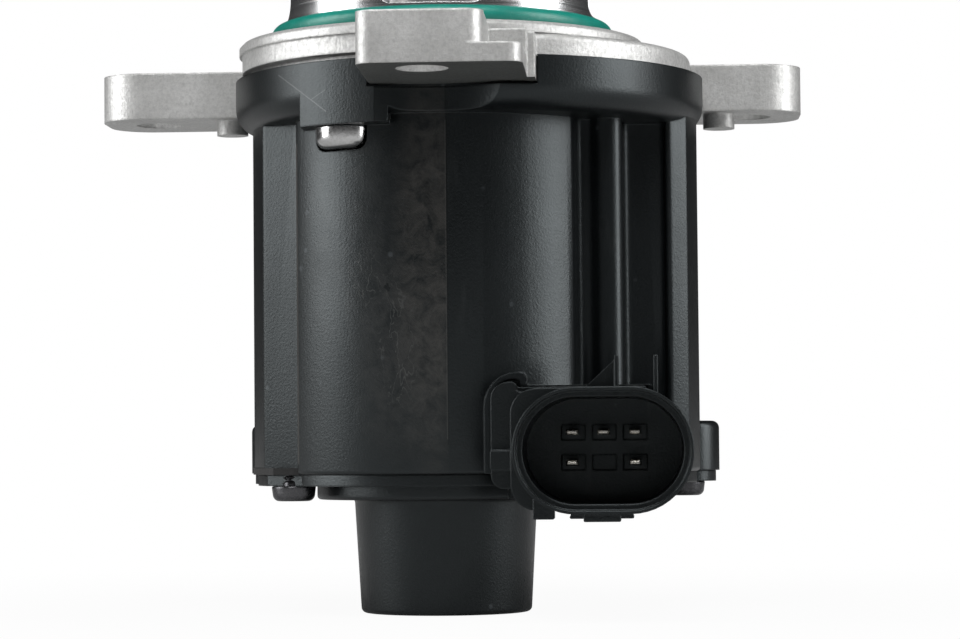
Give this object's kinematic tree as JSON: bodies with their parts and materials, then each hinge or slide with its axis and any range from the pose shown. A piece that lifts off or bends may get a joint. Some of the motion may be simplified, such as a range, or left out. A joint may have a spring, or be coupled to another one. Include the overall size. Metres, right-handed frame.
{
  "type": "egr valve",
  "caption": "Electric exhaust gas recirculation valve: eared aluminium flange with windowed gas sleeve and poppet, black actuator housing with oval connector and closed end tube.",
  "frame": {"origin": "valve axis on the mounting face, which is the gas side of the three ears", "axes": "+Z along the valve axis to the gas end, -Y to the front ear, +X to the right ear seen from the connector side"},
  "size_m": [0.099, 0.082, 0.1119],
  "materials": {
    "cast_aluminium": "blasted casting, machined faces",
    "sleeve_steel": "turned, bright",
    "valve_steel": "heat-resistant steel, ground",
    "green_rubber": "moulded O-ring, satin",
    "black_rubber": "moulded seal",
    "bush_bronze": "sintered bronze",
    "brass": "turned",
    "black_plastic": "glass-filled nylon, fine spark texture",
    "natural_plastic": "moulded acetal",
    "bearing_plastic": "filled bearing plastic",
    "bright_screw": "bright plated",
    "dark_screw": "black passivated",
    "spring_steel": "drawn wire",
    "plated_steel": "zinc plated",
    "core_steel": "stacked laminations",
    "copper": "enamelled wire and bars",
    "ferrite": "pressed ferrite",
    "carbon": "pressed carbon",
    "board_green": "solder mask",
    "tinned_contact": "tinned"
  },
  "bodies": {
    "valve_housing": {"flange_casting": "cast_aluminium", "port_sleeve": "sleeve_steel", "valve_seat_ring": "valve_steel", "flange_o_ring": "green_rubber", "port_o_ring": "green_rubber", "stem_bush": "bush_bronze", "stem_seal": "black_rubber", "seal_retainer": "plated_steel", "actuator_housing": "black_plastic", "housing_seal": "black_rubber", "collar_screws": "bright_screw", "bottom_cover": "black_plastic", "cover_seal": "black_rubber", "cover_screws": "dark_screw", "connector_insert": "black_plastic", "connector_pins": "tinned_contact", "sensor_board": "board_green", "hall_sensor": "bearing_plastic", "drive_bearings": "bearing_plastic", "idler_axle": "plated_steel", "gear_plate": "plated_steel", "gear_plate_screws": "dark_screw", "motor_can": "plated_steel", "motor_end_cap": "bearing_plastic", "motor_magnets": "ferrite", "motor_brushes": "carbon", "motor_bushes": "bush_bronze", "motor_screws": "dark_screw", "return_spring": "spring_steel"},
    "valve": {"valve_disc": "valve_steel", "valve_stem": "valve_steel", "spring_retainer": "plated_steel", "retainer_clip": "spring_steel", "spindle": "valve_steel", "magnet_carrier": "natural_plastic", "sensor_magnet": "ferrite"},
    "drive": {"drive_gear": "natural_plastic", "spindle_nut": "brass"},
    "idler": {"idler_gear": "natural_plastic"},
    "rotor": {"armature_core": "core_steel", "motor_windings": "copper", "commutator": "copper", "motor_shaft": "plated_steel", "motor_pinion": "brass"}
  },
  "joints": [
    {"name": "drive_turn", "type": "hinge", "parent": "valve_housing", "child": "drive", "pos_m": [0, 0, -0.036], "axis": [0, 0, 1], "range_deg": [0, 157.7]},
    {"name": "idler_turn", "type": "hinge", "parent": "valve_housing", "child": "idler", "pos_m": [0.01813, 0.00845, -0.038], "axis": [0, 0, 1], "range_deg": [-405.5, 0]},
    {"name": "rotor_turn", "type": "hinge", "parent": "valve_housing", "child": "rotor", "pos_m": [0.00604, 0.02012, -0.022], "axis": [0, 0, 1], "range_deg": [0, 1013.5]},
    {"name": "valve_lift", "type": "slide", "parent": "valve_housing", "child": "valve", "axis": [0, 0, 1], "range_m": [0, 0.007], "deforming": ["return_spring"]}
  ],
  "couplings": [
    {"joint": "drive_turn", "follows": "valve_lift", "rad_per_m": 392.7},
    {"joint": "idler_turn", "follows": "valve_lift", "rad_per_m": -1009.8},
    {"joint": "rotor_turn", "follows": "valve_lift", "rad_per_m": 2524.5}
  ]
}
